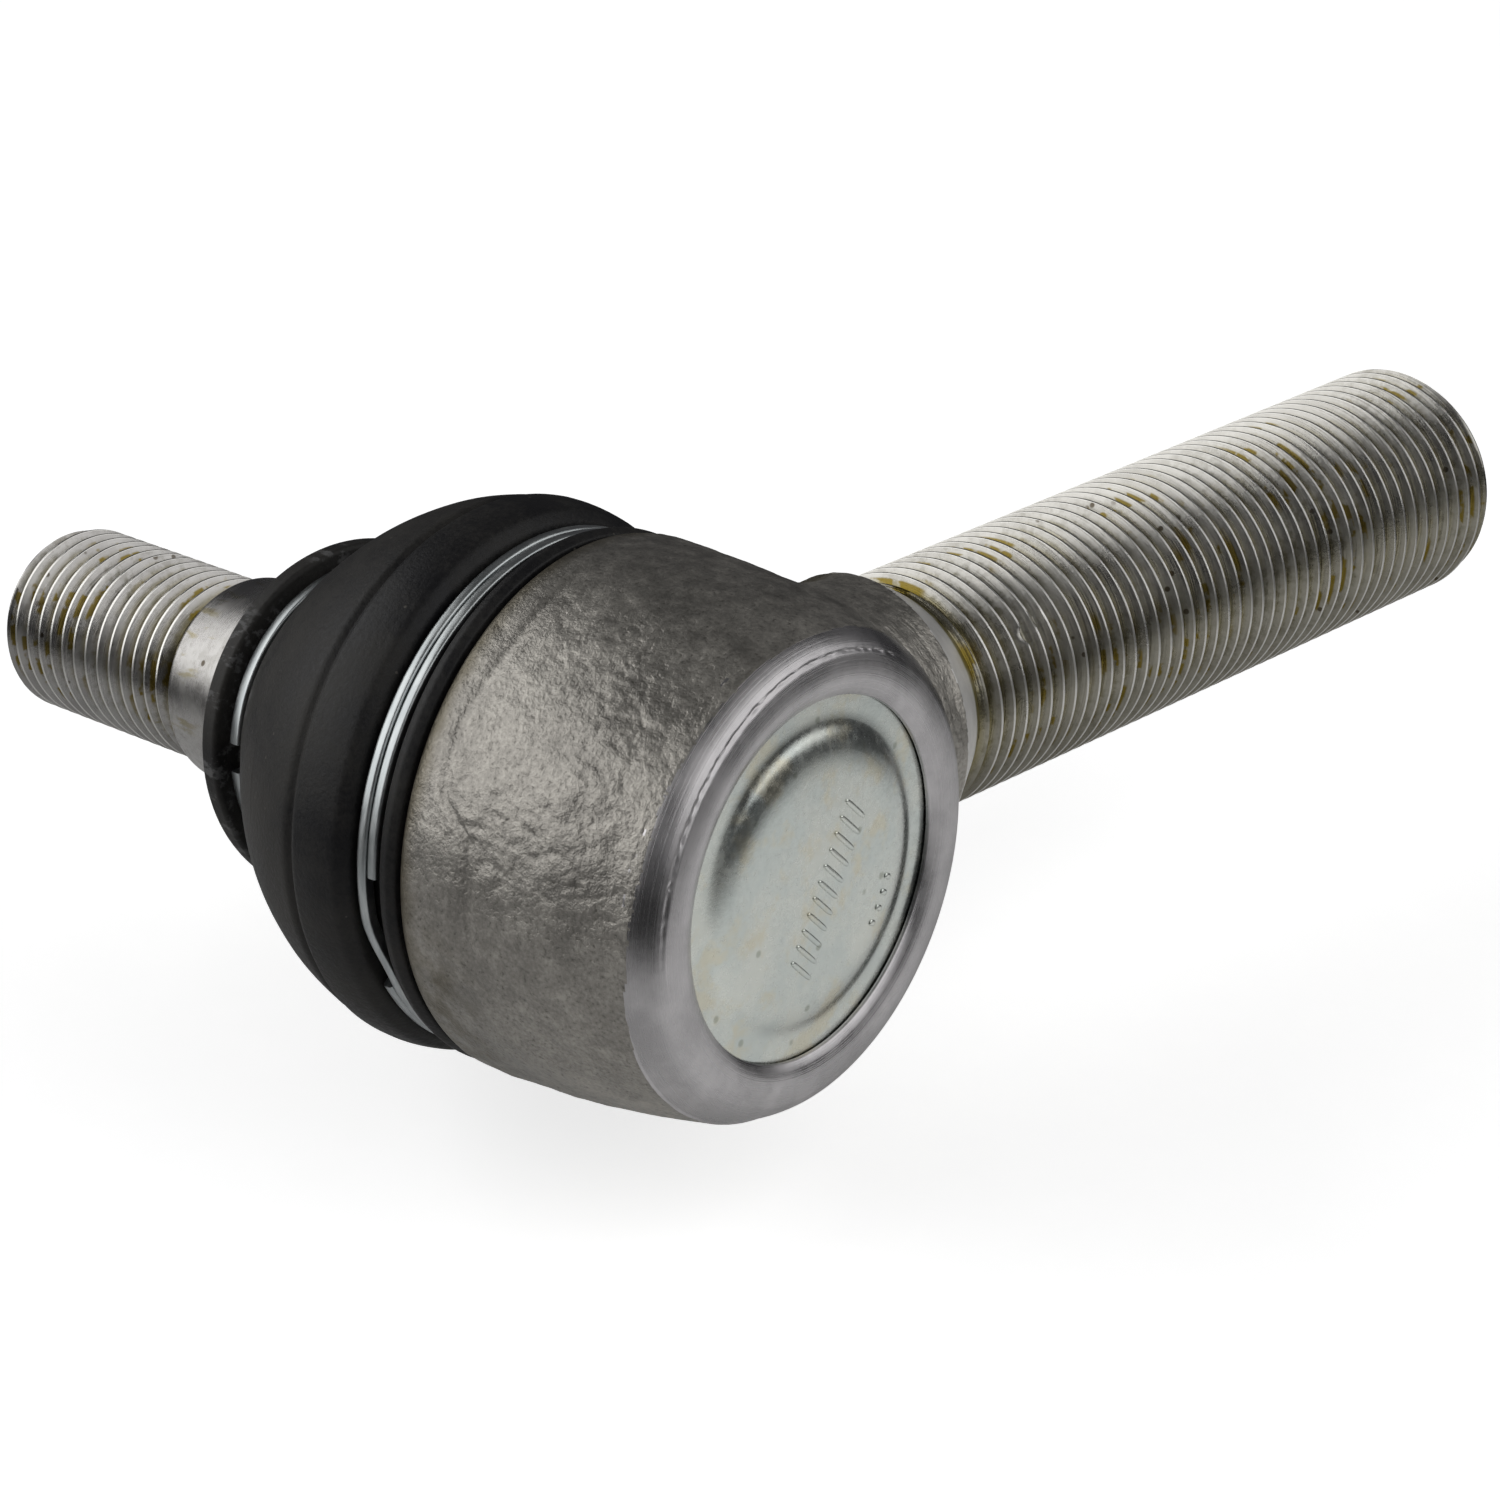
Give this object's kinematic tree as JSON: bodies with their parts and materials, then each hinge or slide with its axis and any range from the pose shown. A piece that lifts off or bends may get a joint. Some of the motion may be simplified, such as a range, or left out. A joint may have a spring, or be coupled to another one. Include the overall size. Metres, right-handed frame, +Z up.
{
  "type": "rod end bearing",
  "caption": "Forged eye on an externally threaded shank, holding a sprung ball stud with a tapered seat and threaded tip, sealed by a ringed rubber boot and a rolled-in end cap.",
  "frame": {"origin": "centre of the shank's flat end face, on the shank's axis, 97.2 mm from the centre of the ball", "axes": "+X along the threaded shank towards its end; +Y along the eye's axis towards the stud, the end cap faces -Y; +Z up"},
  "size_m": [0.117, 0.0822, 0.0398],
  "materials": {
    "forged_steel": "forged and shot-blasted grey, with machined lip, chamfer and thread",
    "bright_steel": "ground taper and cut thread, lightly oiled",
    "acetal": "natural moulded acetal, satin",
    "spring_steel": "oil-tempered wire",
    "zinc_plate": "pale green-grey passivated zinc plate",
    "black_rubber": "matt black moulded rubber, slightly dusty"
  },
  "bodies": {
    "housing": {"forged_housing": "forged_steel", "upper_ball_seat": "acetal", "end_cap": "zinc_plate", "cap_seal_ring": "black_rubber", "large_boot_ring": "zinc_plate", "thrust_spring": "spring_steel"},
    "thrust_seat": {"lower_ball_seat": "acetal"},
    "boot": {"dust_boot": "black_rubber"},
    "collar": {"small_boot_ring": "zinc_plate"},
    "stud": {"ball_stud": "bright_steel"}
  },
  "joints": [
    {"name": "seat_take_up", "type": "slide", "parent": "housing", "child": "thrust_seat", "axis": [0, -1, 0], "range_m": [0, 0.0005], "stiffness_N_per_m": 3400, "springref_m": -0.006, "deforming": ["thrust_spring"]},
    {"name": "stud_tilt_sideways", "type": "hinge", "parent": "housing", "child": "boot", "pos_m": [-0.0972, 0, 0], "axis": [1, 0, 0], "range_deg": [-13, 23], "deforming": ["dust_boot"]},
    {"name": "stud_tilt_lengthways", "type": "hinge", "parent": "boot", "child": "collar", "pos_m": [-0.0972, 0, 0], "axis": [0, 0.0872, 0.9962], "range_deg": [-7, 29]},
    {"name": "stud_spin", "type": "hinge", "parent": "collar", "child": "stud", "pos_m": [-0.0972, 0, 0], "axis": [0.1908, 0.9779, -0.0856], "continuous": true}
  ]
}
